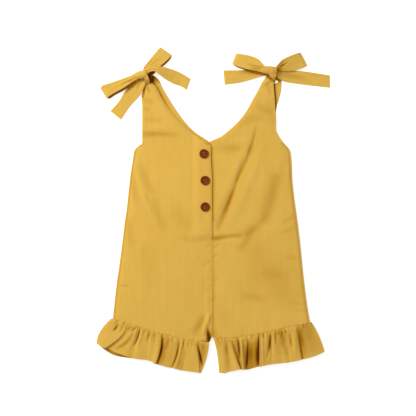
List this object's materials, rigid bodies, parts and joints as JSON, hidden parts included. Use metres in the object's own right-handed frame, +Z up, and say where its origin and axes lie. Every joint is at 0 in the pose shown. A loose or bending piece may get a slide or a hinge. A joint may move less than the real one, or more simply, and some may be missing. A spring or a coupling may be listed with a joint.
{
  "type": "baby romper",
  "caption": "Sleeveless baby romper laid flat, with shoulder ties in bows, a buttoned V neck and gathered ruffles at the leg hems.",
  "frame": {"origin": "on the surface that the romper lies on, under the middle of its outline", "axes": "+X towards the wearer's left, +Y from the leg hems towards the neck, +Z up from the surface, the way the front faces"},
  "size_m": [0.3496, 0.4878, 0.0132],
  "materials": {
    "body_cloth": "mustard linen and cotton, plain weave with fine slubs, matt",
    "ruffle_cloth": "the same cloth, gathered, with a narrow turned hem",
    "tie_cloth": "the same cloth, sewn double into flat ties",
    "button_wood": "dark brown turned wood, waxed, four holes with brown thread"
  },
  "bodies": {
    "root": {"front_right": "body_cloth", "front_left": "body_cloth", "back_right": "body_cloth", "back_left": "body_cloth", "ruffle_front_right": "ruffle_cloth", "ruffle_front_left": "ruffle_cloth", "ruffle_back_right": "ruffle_cloth", "ruffle_back_left": "ruffle_cloth", "knot_right": "tie_cloth", "knot_left": "tie_cloth", "loop_up_right": "tie_cloth", "loop_out_right": "tie_cloth", "tail_in_right": "tie_cloth", "tail_out_right": "tie_cloth", "loop_in_left": "tie_cloth", "loop_out_left": "tie_cloth", "tail_in_left": "tie_cloth", "tail_out_left": "tie_cloth", "button_top": "button_wood", "button_middle": "button_wood", "button_bottom": "button_wood"}
  },
  "joints": []
}
